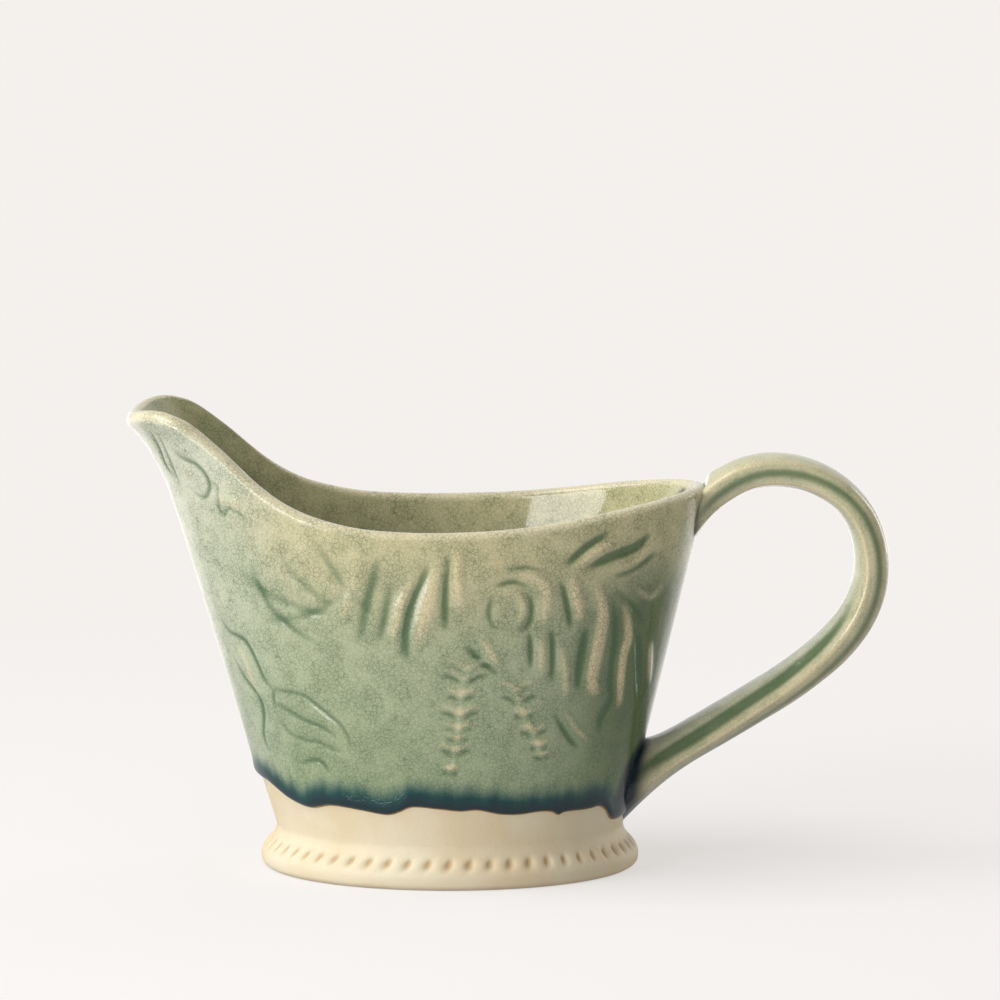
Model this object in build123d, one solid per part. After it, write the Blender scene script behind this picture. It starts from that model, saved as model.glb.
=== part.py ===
from build123d import *

import math
import os

# Stoneware gravy boat, millimetres.  +X points to the handle, -X to the spout, +Z up.
# The origin is the centre of the oval foot, on the surface that the boat stands on.

# Foot and floor
WAIST_HALF_LENGTH = 44.5       # narrowest oval, where the foot ring meets the floor slab
WAIST_HALF_WIDTH = 39.7
FOOT_HEIGHT = 10.5
FOOT_FLARE = 4.0               # the foot's edge stands out past the waist by this much
FOOT_TUCK = 1.7                # the contact oval lies inside the foot's edge by this much
FOOT_RING_WIDTH = 6.5          # from the contact oval to the recess under the floor
FLOOR_THICKNESS = 4.5
SEAM_COIL = 4.0                # coil pressed into the inside corner of wall and floor
DIMPLE_COUNT = 56              # pressed round the foot, leaving a row of beads
DIMPLE_RADIUS = 1.4
DIMPLE_DEPTH = 0.8

# Bowl
FRONT_SWELL = 1.5              # the glazed wall starts this far outside the waist at the front
BACK_SWELL = 0.4               # and this far outside it at the back
SADDLE_HEIGHT = 90.8           # lowest point of the rim
SPOUT_RISE = 28.6              # the spout's top above the saddle
BACK_RISE = 7.5                # the rim's back above the saddle
SPOUT_REACH = 87.9             # of the form at the spout's top; the rim dips and ends it sooner
BACK_REACH = 66.5
RIM_HALF_WIDTH = 43.8
SPOUT_CURL = 9.6               # how far the lip turns out past the wall's straight line
CURL_HEIGHT = 24.4             # length of wall over which it turns out
WIDEST_SHIFT = 4.0             # the rim's widest place lies this far towards the spout
NECK_PINCH = 0.8               # bare clay under the spout is pressed in by this much
NECK_HEIGHT = 12.0
WALL_THICKNESS = 3.2

# Glaze
GLAZE = 0.5
GLAZE_EDGE = 19.5              # height of the glaze's lower edge
ROLL_PROUD = 0.9               # thick roll where the glaze ran and stopped
ROLL_HEIGHT = 3.6

# Handle
HANDLE_LOOP = 41.9             # from the rim's back to the far side of the strap's middle line
HANDLE_RISE = 3.8              # the middle line's top above the rim's back
HANDLE_WIDTH = 16.5
HANDLE_TOP_THICKNESS = 8.8
HANDLE_LOW_THICKNESS = 10.6
UPPER_ROOT_DROP = 4.8          # the middle line meets the wall this far under the rim's back
LOWER_ROOT_RISE = 5.5          # and this far above the glaze's lower edge
ROOT_SLOPE = 0.58              # rise per run of the middle line at both roots
ROOT_DEPTH = 9.0               # the middle line starts this far inside the wall
UPPER_JOINT_SPREAD = 5.0       # luting coils round the strap's roots, where they are widest
LOWER_JOINT_SPREAD = 7.0
JOINT_LENGTH = 19.0            # along the strap, most of it inside the wall
JOINT_TAPER = 1.5              # power by which the coil dies out along the strap

# Side view of the rim, from beyond the spout to the saddle: share of the spout's reach, and
# share of its rise.  Then from the saddle to beyond the back, as shares of the back's.
SPOUT_RIM = ((1.1, 0.4), (0.95, 0.853), (0.873, 1.0), (0.73, 0.83), (0.474, 0.21), (0.047, 0.0))
BACK_RIM = ((0.45, 0.28), (1.0, 1.0), (1.4, 1.4))

# Side view of the handle's middle line: share of the loop out from the rim's back, and share of
# the drop from the handle's top to its lower root.
LOOP_LINE = ((0.11, 0.035), (0.4, 0.0), (0.84, 0.09), (1.0, 0.31), (0.85, 0.54), (0.32, 0.767))

# Section of the glaze roll above its foot: share of its height, and share that it stands proud.
ROLL_PROFILE = ((0.4, 0.8), (0.7, 1.0), (1.0, 0.5))

# Side view of the foot: share of its height, and share of its flare past the waist.
FOOT_PROFILE = ((0.12, 0.84), (0.3, 1.0), (0.45, 0.9), (0.6, 0.63), (0.75, 0.3), (1.0, 0.0))
DIMPLE_ROW = 3                 # the dimples lie on this line of the profile

FAR = 400.0                    # larger than the whole boat
FLOOR_TOP = FOOT_HEIGHT + FLOOR_THICKNESS
SPOUT_TOP = SADDLE_HEIGHT + SPOUT_RISE
BACK_HEIGHT = SADDLE_HEIGHT + BACK_RISE
FORM_TOP = SPOUT_TOP + 3.0     # the forms run past the rim, which is cut afterwards
HANDLE_TOP = BACK_HEIGHT + HANDLE_RISE
UPPER_ROOT = BACK_HEIGHT - UPPER_ROOT_DROP
LOWER_ROOT = GLAZE_EDGE + LOWER_ROOT_RISE


# ---------------------------------------------------------------- ovals and forms

def oval(height, front, back, half_width, widest=0.0):
    """Egg-shaped face: half an ellipse towards the spout and half towards the handle."""
    centre = (widest, 0, height)
    front_half = EllipticalCenterArc(centre, front + widest, half_width, 90, arc_size=180)
    back_half = EllipticalCenterArc(centre, back - widest, half_width, -90, arc_size=180)
    return make_face([front_half, back_half])


def front_reach(height):
    base = WAIST_HALF_LENGTH + FRONT_SWELL
    rise = (height - FOOT_HEIGHT) / (SPOUT_TOP - FOOT_HEIGHT)
    straight = base + (SPOUT_REACH - SPOUT_CURL - base) * rise
    curl = max(0.0, (height - (SPOUT_TOP - CURL_HEIGHT)) / CURL_HEIGHT)
    neck = max(0.0, 1 - (height - FOOT_HEIGHT) / NECK_HEIGHT)
    return straight + SPOUT_CURL * min(curl, 1.0) ** 2 - NECK_PINCH * math.sqrt(neck)


def back_reach(height):
    base = WAIST_HALF_LENGTH + BACK_SWELL
    rise = (height - FOOT_HEIGHT) / (BACK_HEIGHT - FOOT_HEIGHT)
    return base + (BACK_REACH - base) * rise


def bowl_oval(height, inset):
    rise = min(1.0, (height - FOOT_HEIGHT) / (SADDLE_HEIGHT - FOOT_HEIGHT))
    base_half_width = WAIST_HALF_WIDTH + GLAZE
    half_width = base_half_width + (RIM_HALF_WIDTH - base_half_width) * math.sin(rise * math.pi / 2)
    return oval(height, front_reach(height) - inset, back_reach(height) - inset,
                half_width - inset, -WIDEST_SHIFT * rise)


def bowl_form(inset):
    """Solid bowl from the foot to above the rim, its outside drawn in by inset."""
    steps = (0.0, 0.06, 0.14, 0.3, 0.45, 0.6, 0.73, 0.81, 0.88, 0.94, 1.0)
    height = FORM_TOP - FOOT_HEIGHT
    return loft([bowl_oval(FOOT_HEIGHT + height * step, inset) for step in steps])


def layer(low, high):
    """Everything between two heights."""
    return Pos(0, 0, (low + high) / 2) * Box(FAR, FAR, high - low)


def under_rim(drop=0.0):
    """Everything under the rim's line, which climbs from the saddle to the spout and the back."""
    points = [(-SPOUT_REACH * out, SADDLE_HEIGHT + SPOUT_RISE * up) for out, up in SPOUT_RIM]
    points += [(BACK_REACH * out, SADDLE_HEIGHT + BACK_RISE * up) for out, up in BACK_RIM]
    crest = Spline(*points)
    sides = Polyline(crest @ 1, ((crest @ 1).X, -1), ((crest @ 0).X, -1), crest @ 0)
    side_view = Plane.XZ * make_face([crest, sides])
    return Pos(0, 0, -drop) * extrude(side_view, FAR / 2, both=True)


# ---------------------------------------------------------------- foot and floor

def foot_oval(height, share):
    """Oval that stands out past the waist by a share of the foot's flare."""
    flare = FOOT_FLARE * share
    half_length = WAIST_HALF_LENGTH + flare
    return oval(height, half_length, half_length, WAIST_HALF_WIDTH + flare)


def foot_ring():
    contact_share = 1.0 - FOOT_TUCK / FOOT_FLARE
    sections = [foot_oval(0, contact_share)]
    sections += [foot_oval(FOOT_HEIGHT * rise, share) for rise, share in FOOT_PROFILE]
    recess_share = contact_share - FOOT_RING_WIDTH / FOOT_FLARE
    ring = loft(sections) - extrude(foot_oval(0, recess_share), FOOT_HEIGHT)
    dimple_rise, dimple_share = FOOT_PROFILE[DIMPLE_ROW]
    stand_off = FOOT_FLARE * dimple_share + DIMPLE_RADIUS - DIMPLE_DEPTH
    for number in range(DIMPLE_COUNT):
        angle = 2 * math.pi * (number + 0.5) / DIMPLE_COUNT
        along = (WAIST_HALF_LENGTH + stand_off) * math.cos(angle)
        across = (WAIST_HALF_WIDTH + stand_off) * math.sin(angle)
        ring -= Pos(along, across, FOOT_HEIGHT * dimple_rise) * Sphere(DIMPLE_RADIUS)
    return ring


def floor_slab():
    return bowl_form(GLAZE) & layer(FOOT_HEIGHT, FLOOR_TOP)


# ---------------------------------------------------------------- bowl

def cavity(inset, floor):
    """Space inside the bowl above the floor, with the inside corner taken by the seam coil."""
    cone_top = floor + 2 * SEAM_COIL
    cone = loft([bowl_oval(floor, inset + SEAM_COIL), bowl_oval(cone_top, inset - SEAM_COIL)])
    return bowl_form(inset) & (cone + layer(cone_top, FAR))


def bowl_wall():
    wall = bowl_form(GLAZE) & layer(FLOOR_TOP, FAR) & under_rim(GLAZE)
    return wall - bowl_form(GLAZE + WALL_THICKNESS)


def floor_seam_coil():
    corner = bowl_form(GLAZE + WALL_THICKNESS) & layer(FLOOR_TOP, FLOOR_TOP + 2 * SEAM_COIL)
    return corner - cavity(GLAZE + WALL_THICKNESS, FLOOR_TOP)


def outer_glaze():
    """Glaze on the outside, over the rim and down to the top of the inside."""
    coat = bowl_form(0) & layer(GLAZE_EDGE, FAR) & under_rim()
    coat -= bowl_form(GLAZE) & under_rim(GLAZE)
    return coat - bowl_form(GLAZE)


def rim_glaze():
    """Glaze over the rim, between the outside coat and the liner."""
    cap = bowl_form(GLAZE) & under_rim()
    return cap - under_rim(GLAZE) - bowl_form(2 * GLAZE + WALL_THICKNESS)


def liner_glaze():
    lining = cavity(GLAZE + WALL_THICKNESS, FLOOR_TOP) & under_rim(GLAZE)
    return lining - cavity(2 * GLAZE + WALL_THICKNESS, FLOOR_TOP + GLAZE)


def glaze_roll():
    """Roll of thick glaze round the bowl, just under the edge of the outer glaze."""
    bottom = GLAZE_EDGE - ROLL_HEIGHT
    sections = [bowl_oval(bottom, 2 * GLAZE)]         # starts inside the clay, which trims it
    sections += [bowl_oval(bottom + ROLL_HEIGHT * rise, -ROLL_PROUD * proud)
                 for rise, proud in ROLL_PROFILE]
    return loft(sections) - bowl_form(GLAZE)


# ---------------------------------------------------------------- handle

def handle_line():
    """Middle line of the strap, from inside the wall near the rim to inside the wall low down."""
    drop = HANDLE_TOP - LOWER_ROOT
    loop = [(BACK_REACH + HANDLE_LOOP * out, 0, HANDLE_TOP - drop * down) for out, down in LOOP_LINE]
    root_drop = ROOT_DEPTH * ROOT_SLOPE
    upper_root = (back_reach(UPPER_ROOT) - ROOT_DEPTH, 0, UPPER_ROOT - root_drop)
    lower_root = (back_reach(LOWER_ROOT) - ROOT_DEPTH, 0, LOWER_ROOT - root_drop)
    return Spline(upper_root, *loop, lower_root)


def strap_section(line, place, spread=0.0):
    """Oval section of the strap at a place along its line, 0 at the rim and 1 at the low end."""
    thickness = HANDLE_TOP_THICKNESS + (HANDLE_LOW_THICKNESS - HANDLE_TOP_THICKNESS) * place
    across = Plane(origin=line @ place, x_dir=(0, 1, 0), z_dir=line % place)
    return across * Ellipse(HANDLE_WIDTH / 2 + spread, thickness / 2 + spread)


def strap_form(spread=0.0, start=0.0, end=1.0):
    """The strap between two places along its line."""
    line = handle_line()
    stations = 14
    places = [start + (end - start) * number / stations for number in range(stations + 1)]
    return loft([strap_section(line, place, spread) for place in places])


def joint_form(root, end, root_spread):
    """Coil round one end of the strap: widest at the wall and dying out along the strap."""
    line = handle_line()
    sections = []
    for share in (0.0, 0.4, 0.6, 0.8, 1.0):
        spread = GLAZE + (root_spread - GLAZE) * (1 - share) ** JOINT_TAPER
        sections.append(strap_section(line, root + (end - root) * share, spread))
    return loft(sections)


def joint_share():
    """Length of one luted joint, as a share of the strap's line."""
    return JOINT_LENGTH / handle_line().length


def handle_strap():
    return strap_form() - bowl_form(GLAZE)


def upper_handle_joint():
    coil = joint_form(0.0, joint_share(), UPPER_JOINT_SPREAD)
    return coil - strap_form() - bowl_form(GLAZE)


def lower_handle_joint():
    coil = joint_form(1.0, 1.0 - joint_share(), LOWER_JOINT_SPREAD)
    return coil - strap_form() - bowl_form(GLAZE)


def handle_glaze():
    """Glaze on the strap between its two luted joints."""
    return strap_form(GLAZE, joint_share(), 1.0 - joint_share()) - strap_form()


# ---------------------------------------------------------------- the whole boat

def build():
    strap = handle_strap()
    upper_joint = upper_handle_joint()
    lower_joint = lower_handle_joint()
    joined = [strap, upper_joint, lower_joint]
    body_coat = outer_glaze() - joined
    roll = glaze_roll() - joined
    return {
        "foot_ring": foot_ring(),
        "floor_slab": floor_slab(),
        "bowl_wall": bowl_wall(),
        "floor_seam_coil": floor_seam_coil(),
        "handle_strap": strap,
        "upper_handle_joint": upper_joint,
        "lower_handle_joint": lower_joint,
        "outer_glaze": body_coat,
        "rim_glaze": rim_glaze(),
        "liner_glaze": liner_glaze(),
        "handle_glaze": handle_glaze(),
        "glaze_roll": roll,
    }


os.makedirs("parts", exist_ok=True)
for name, piece in build().items():
    export_step(piece, f"parts/{name}.step")
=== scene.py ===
import math

import bpy
import numpy as np
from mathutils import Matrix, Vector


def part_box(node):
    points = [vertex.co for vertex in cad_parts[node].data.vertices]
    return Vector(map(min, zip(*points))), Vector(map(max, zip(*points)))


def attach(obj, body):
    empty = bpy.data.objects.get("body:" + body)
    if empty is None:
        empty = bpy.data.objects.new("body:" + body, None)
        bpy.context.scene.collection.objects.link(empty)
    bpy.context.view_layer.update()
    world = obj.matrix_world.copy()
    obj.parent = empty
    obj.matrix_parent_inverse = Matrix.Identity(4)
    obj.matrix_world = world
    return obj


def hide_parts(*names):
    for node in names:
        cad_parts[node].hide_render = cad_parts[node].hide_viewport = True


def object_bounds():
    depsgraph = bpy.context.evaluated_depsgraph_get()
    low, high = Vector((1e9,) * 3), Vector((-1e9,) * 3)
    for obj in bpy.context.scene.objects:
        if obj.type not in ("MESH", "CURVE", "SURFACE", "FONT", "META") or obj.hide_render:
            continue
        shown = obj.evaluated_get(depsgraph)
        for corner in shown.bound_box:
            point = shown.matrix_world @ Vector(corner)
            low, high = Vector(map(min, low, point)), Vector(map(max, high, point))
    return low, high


# Looks of the stoneware gravy boat: clay, relief, crackled celadon glaze and its teal roll.
# Sizes are in millimetres, as in the part, and MM turns them into metres as each mesh is made.
# +X points to the handle, -X to the spout and -Y to the camera.
MM = 0.001

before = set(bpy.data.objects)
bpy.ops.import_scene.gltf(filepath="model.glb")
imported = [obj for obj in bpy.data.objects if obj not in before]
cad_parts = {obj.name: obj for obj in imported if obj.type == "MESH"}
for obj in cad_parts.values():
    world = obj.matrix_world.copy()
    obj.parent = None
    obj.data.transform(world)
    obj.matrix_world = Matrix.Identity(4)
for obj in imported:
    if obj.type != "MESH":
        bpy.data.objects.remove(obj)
cad_low, cad_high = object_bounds()

# ---------------------------------------------------------------- sizes


def top_of(node):
    """Height of a CAD node's top, in millimetres."""
    return round(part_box(node)[1].z / MM, 1)


# Foot and floor
WAIST_HALF_LENGTH = 44.5
WAIST_HALF_WIDTH = 39.7
FOOT_HEIGHT = top_of("foot_ring")
FLOOR_TOP = top_of("floor_slab")
FOOT_RING_WIDTH = 6.5
CLAY_TOP = 26.0                # the bare clay is drawn this far up, well behind the glaze
CLAY_STEP = 0.25               # and has a ring at each of these steps
DIMPLE_COUNT = 56
DIMPLE_HEIGHT = 6.3            # of the row's middle
DIMPLE_DEPTH = 0.75
DIMPLE_HALF_HEIGHT = 1.2
DIMPLE_HALF_WIDTH = 1.1
DIMPLE_SLANT = 0.35
BEAD_HEIGHT = 0.35             # the clay between two dimples stands out by this much

# Bowl
RIM_HALF_WIDTH = round(cad_high.y / MM, 1)
WAIST_GLAZED_HALF_WIDTH = 40.2
SADDLE_HEIGHT = 90.8           # lowest point of the rim
FORM_TOP = 121.0               # the bowl's form runs on past its rim
WIDEST_SHIFT = 4.0             # the rim's widest place lies this far towards the spout
LIP_RADIUS = 2.1
WALL = 2 * LIP_RADIUS          # clay and both coats of glaze
LEAN = 0.13                    # the wall thickens by this much to each unit below the lip
LEAN_DEPTH = 10.0              # and keeps its thickness from this depth
WALL_SLANT = 1.04              # length of the sloping wall to each unit of height
CORNER_RADIUS = 6.5            # rounding between wall and floor inside

# Glaze
COAT = 0.5
CORE_DEPTH = 1.3               # the hidden side of the outer coat, clear of the deepest groove
CORE_TOP = 0.8                 # which ends this far below the lip
CLAY_GAP = 0.2                 # the hidden clay lies this far behind the outer coat
LINER_GAP = 0.15               # and this far behind the liner
CLAY_BELOW_LIP = 0.5
EDGE_HEIGHT = 20.0             # rough height of the glaze's lower edge
ROLL_HEIGHT = 3.6
ROLL_ROUND = 1.3               # height over which the edge rounds out
ROLL_PROUD = 0.3
ROLL_MIDDLE = 1.8              # the roll stands out most this far above the edge
ROLL_SPREAD = 1.9
ROLL_DEPTH = 0.4               # its hidden side, below the clay's surface
RIM_COAT_DEPTH = 6.0           # the rim's coat ends this far down the inside
NO_EDGE = 50                   # height above the glaze's edge, on pieces that have no edge

# Dark pools of glaze round the handle's roots: half width, middle height, and half height.
LOWER_POOL = (16.5, 21.0, 15.0)
UPPER_POOL = (9.6, 91.0, 8.5)
UPPER_POOL_TOP = 96.5

# Relief: its lowest and highest, and the distances over which it fades in.
RELIEF_RANGE = (-0.8, 0.75)
MEETING_FADE = (1.2, 6.0)      # from where the two sides of the boat meet
EDGE_FADE = (2.5, 6.0)         # above the glaze's lower edge
LIP_FADE = (0.2, 2.5)          # below the lip
# Lines of a fern: width and height.
STEM = (1.0, 0.25)
LEAFLET = (1.0, 0.26)
LEAFLET_GROOVE = (0.8, -0.34)
GROOVE_DROP = 1.5              # the groove lies this far under its leaflet

# Handle
HANDLE_HALF_WIDTH = 8.25
STRAP_FULLNESS = 0.88          # power below 1, which squares the oval section up a little
STRAP_COAT = 0.6               # depth of the clay under the strap's ridges
ROOT_DEPTH = 1.6               # the joints end this deep in the wall
FLARE_POWER = 2.6              # the joints flare late, close to the wall
# Joints: piece, CAD node, end of the strap, flare at the wall, droop, highest point, and
# strength of the dark glaze on them.
JOINTS = (("upper_joint", "upper_handle_joint", 0, 2.2, 3.0, 97.4, 0.8),
          ("lower_joint", "lower_handle_joint", -1, 3.4, 1.6, FORM_TOP, 1.0))

# Side views: height, and reach from the middle.
FRONT_LINE = ((6, 44.4), (10.5, 45.6), (24, 49.8), (47.5, 56.8), (78.6, 66.2), (94.2, 71.1),
              (101.9, 74.1), (109.6, 78.6), (114, 82.6), (118, 87.5), (122, 93.0))
BACK_LINE = ((6, 43.8), (10.5, 44.9), (54.4, 55.7), (98.3, 66.5), (122, 72.3))
FOOT_LINE = ((0, 2.4), (0.3, 3.3), (1.2, 3.9), (3.0, 4.1), (4.2, 3.85), (5.2, 3.2), (6.5, 2.0),
             (8.0, 0.9), (9.4, 0.3), (10.5, 0.0))

# Rim, from beyond the spout to beyond the handle: along the boat, and height.
RIM_LINE = ((-95, 100), (-88, 109.5), (-84, 115.0), (-81.5, 117.6), (-78.5, 119.0), (-75, 119.4),
            (-71.9, 118.9), (-67.2, 117.0), (-59.5, 111.1), (-49.1, 102.0), (-41.4, 97.1),
            (-33.6, 94.1), (-23.3, 91.9), (-12.9, 91.1), (-2.6, 90.9), (12.9, 91.4),
            (28.4, 92.9), (49.1, 96.1), (64.6, 98.3), (80, 100))

# Lower edge of the glaze on the two sides of the bowl: along the boat, and height.
NEAR_EDGE = ((-52, 24.2), (-46, 23.4), (-44.5, 22.6), (-40.6, 19.9), (-35.8, 18.7), (-30.1, 20.0),
             (-22.5, 19.4), (-17.4, 18.7), (-14.8, 18.8), (-12.3, 19.7), (-9, 20.9), (-2.2, 20.4),
             (2.8, 19.9), (7.4, 20.1), (12.9, 18.9), (18, 18.6), (23, 19.0), (26.1, 18.7),
             (28.1, 17.7), (30, 18.3), (35.8, 18.2), (38.6, 18.4), (40.6, 17.0), (42.4, 14.4),
             (44.4, 13.6), (47, 13.9), (52, 14.4))
FAR_EDGE = ((-52, 24.2), (-45, 22.8), (-38, 19.4), (-29, 20.4), (-21, 18.6), (-12, 19.8),
            (-4, 18.4), (6, 20.2), (14, 19.2), (22, 18.1), (31, 19.6), (38, 18.4), (43, 17.4),
            (46, 15.0), (52, 14.4))

# Middle line of the strap, from near the rim to near the foot: along the boat, and height.
HANDLE_LINE = ((69.5, 97.6), (74, 100.3), (79.6, 101.9), (85.5, 102.0), (91.4, 100.9),
               (96.9, 98.4), (101.7, 94.9), (105.4, 90.1), (107.6, 84.5), (108.4, 78.8),
               (108.0, 73.2), (106.5, 68.2), (104.4, 63.9), (101.8, 60.2), (96.6, 54.7),
               (87.3, 47.4), (79.9, 42.7), (70, 36.7), (63, 32.6))
# Its half thickness: share of the line, and size.
STRAP_THICKNESS = ((0, 4.4), (0.15, 4.3), (0.3, 4.0), (0.5, 4.7), (0.65, 5.0), (1, 5.1))

# Fineness of the meshes, and of the searches for a place on the bowl's form
MID_HEIGHT = 60.0              # where the columns of the bowl's mesh are spaced evenly
NEAR_COLUMNS = 360
FAR_COLUMNS = 210
WALL_ROWS = 132
HIDDEN_ROWS = 14
LINER_ROWS = 60
LIP_STEPS = 9
CORNER_STEPS = 8
ARC_STEPS = 24
STRAP_POINTS = 96
STRAP_RINGS = 210
JOINT_RINGS = 24
HALVINGS = 40
CAP_SHARES = (0.85, 0.6, 0.3, 0.02)      # rings over the liner's floor, as shares of its edge
SLAB_SHARES = (0.02, 0.4, 0.8)           # and over each face of the floor slab
SHARP_ANGLE = 55               # degrees between two faces, above which their edge stays sharp


# ---------------------------------------------------------------- curves and meshes

def curve(points, pieces=8):
    """Smooth line through the points, with this many short pieces between neighbours."""
    known = np.array(points, float)
    known = np.vstack([2 * known[0] - known[1], known, 2 * known[-1] - known[-2]])
    t = np.linspace(0, 1, pieces, endpoint=False)[:, None]
    parts = []
    for a, b, c, d in zip(known, known[1:], known[2:], known[3:]):
        bend = t * (2 * a - 5 * b + 4 * c - d + t * (3 * b - 3 * c + d - a))
        parts.append(b + 0.5 * t * (c - a + bend))
    return np.vstack(parts + [known[-2:-1]])


def profile(points):
    """The smooth line as a function from its first coordinate to its second."""
    line = curve(points)
    return lambda place: np.interp(place, line[:, 0], line[:, 1])


def smooth_step(value, low, high):
    """0 up to low and 1 from high, with a smooth rise between them."""
    share = np.clip((value - low) / (high - low), 0, 1)
    return share * share * (3 - 2 * share)


def unit(vectors):
    """The vectors, each 1 long."""
    return vectors / np.linalg.norm(vectors, axis=-1, keepdims=True)


def softened(rings, times):
    """The rings, or points, with any crease across them pressed smooth. The two ends stay."""
    rings = rings.copy()
    for _ in range(times):
        rings[1:-1] = (rings[:-2] + 2 * rings[1:-1] + rings[2:]) / 4
    return rings


def lofted(name, rings, material, closed=False, inner=None, **attributes):
    """Mesh skinned over closed rings of equal size, in millimetres. The last ring joins the
    first when closed, and otherwise both ends are capped. Inner is the number of the ring from
    which a second material takes over, and that material. Each attribute has a value for each
    point."""
    rings = np.asarray(rings, float)
    count, size = rings.shape[:2]
    numbers = np.arange(count * size).reshape(count, size)
    if closed:
        numbers = np.vstack([numbers, numbers[:1]])
    turned = np.roll(numbers, -1, axis=1)
    faces = np.stack([numbers[:-1], turned[:-1], turned[1:], numbers[1:]], -1).reshape(-1, 4)
    faces = faces.tolist()
    if not closed:
        faces += [numbers[0][::-1].tolist(), numbers[-1].tolist()]
    mesh = bpy.data.meshes.new(name)
    mesh.from_pydata((rings.reshape(-1, 3) * MM).tolist(), [], faces)
    mesh.shade_smooth()
    mesh.set_sharp_from_angle(angle=math.radians(SHARP_ANGLE))
    for key, values in attributes.items():
        layer = mesh.attributes.new(key, "FLOAT", "POINT")
        layer.data.foreach_set("value", np.asarray(values, np.float32).ravel())
    mesh.materials.append(material)
    if inner:
        first, second = inner
        mesh.materials.append(second)
        bands = np.arange(len(faces)) // size
        mesh.polygons.foreach_set("material_index", (bands >= first).astype(np.int32))
    mesh.validate()
    piece = bpy.data.objects.new(name, mesh)
    bpy.context.scene.collection.objects.link(piece)
    return piece


def hand_over(piece, slot, *nodes):
    """The piece stands for the CAD nodes and rides with them."""
    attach(piece, "root")
    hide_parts(*nodes)


# ---------------------------------------------------------------- the bowl's form

front_line = profile(FRONT_LINE)
back_line = profile(BACK_LINE)
foot_line = profile(FOOT_LINE)
rim_line = profile(RIM_LINE)
near_edge = profile(NEAR_EDGE)
far_edge = profile(FAR_EDGE)


def oval(angle, height, front, back, side, widest):
    """Points of an egg-shaped oval: half an ellipse to the spout, half to the handle."""
    along = np.cos(angle)
    x = widest + along * np.where(along > 0, back - widest, front + widest)
    y = np.sin(angle) * side + 0 * x
    return np.stack([x, y, height + 0 * x], -1)


def bowl_share(height):
    """Share of the way from the foot to the saddle of the rim."""
    return np.clip((height - FOOT_HEIGHT) / (SADDLE_HEIGHT - FOOT_HEIGHT), 0, 1)


def half_width(height):
    """Half width of the glazed bowl, which grows quickly at first and then slowly."""
    growth = RIM_HALF_WIDTH - WAIST_GLAZED_HALF_WIDTH
    return WAIST_GLAZED_HALF_WIDTH + growth * np.sin(bowl_share(height) * math.pi / 2)


def bowl(angle, height):
    """The glazed outside of the bowl, before the relief."""
    return oval(angle, height, front_line(height), back_line(height), half_width(height),
                -WIDEST_SHIFT * bowl_share(height))


def outward(angle, height):
    """Unit normal of the bowl's outside."""
    step = 0.002
    around = bowl(angle + step, height) - bowl(angle - step, height)
    upward = bowl(angle, height + step) - bowl(angle, height - step)
    return unit(np.cross(around, upward))


def clay(angle, height):
    """Outside of the bare clay: the flared foot, the waist and the pinched neck above it."""
    flare = np.where(height < FOOT_HEIGHT, foot_line(height), 0)
    waist = np.full_like(height, FOOT_HEIGHT)
    neck = bowl(angle, np.maximum(height, FOOT_HEIGHT)) - bowl(angle, waist)
    side = oval(angle, height, WAIST_HALF_LENGTH + flare, WAIST_HALF_LENGTH + flare,
                WAIST_HALF_WIDTH + flare, 0)
    side[..., :2] += neck[..., :2]
    return side


def column_angles():
    """Angles round the bowl, evenly spaced along it and closer on the near side."""
    dense = np.linspace(-math.pi, math.pi, 4001)
    ring = bowl(dense, MID_HEIGHT)
    lengths = np.linalg.norm(np.diff(ring, axis=0), axis=1)
    length = np.concatenate([[0], np.cumsum(lengths)])
    half = np.interp(0, dense, length)
    near = np.linspace(0, half, NEAR_COLUMNS, endpoint=False)
    far = np.linspace(half, length[-1], FAR_COLUMNS, endpoint=False)
    return np.interp(np.concatenate([near, far]), length, dense)


def lip_start(angle):
    """Height at which the outside starts to round over into the lip."""
    low = np.full_like(angle, SADDLE_HEIGHT / 2)
    high = np.full_like(angle, FORM_TOP)
    for _ in range(HALVINGS):
        middle = (low + high) / 2
        lip_top = middle + LIP_RADIUS * (1 - outward(angle, middle)[..., 2])
        over = lip_top > rim_line(bowl(angle, middle)[..., 0])
        high = np.where(over, middle, high)
        low = np.where(over, low, middle)
    return low


def glaze_edge(angle):
    """Height of the glaze's lower edge."""
    along = bowl(angle, np.full_like(angle, EDGE_HEIGHT))[..., 0]
    return np.where(np.sin(angle) < 0, near_edge(along), far_edge(along))


# ---------------------------------------------------------------- relief pressed in the clay

def spread_out(x, z):
    """Side view to the wall laid flat: distance round the wall from its widest line, and up."""
    widest = -WIDEST_SHIFT * bowl_share(z)
    half = np.where(x < widest, front_line(z) + widest, back_line(z) - widest)
    turn = np.arcsin(np.clip((x - widest) / half, -1, 1))
    angle = turn[..., None] * (np.arange(ARC_STEPS) + 0.5) / ARC_STEPS
    across = half_width(z)[..., None] * np.sin(angle)
    along = half[..., None] * np.cos(angle)
    return np.hypot(across, along).mean(-1) * turn, WALL_SLANT * z


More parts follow.
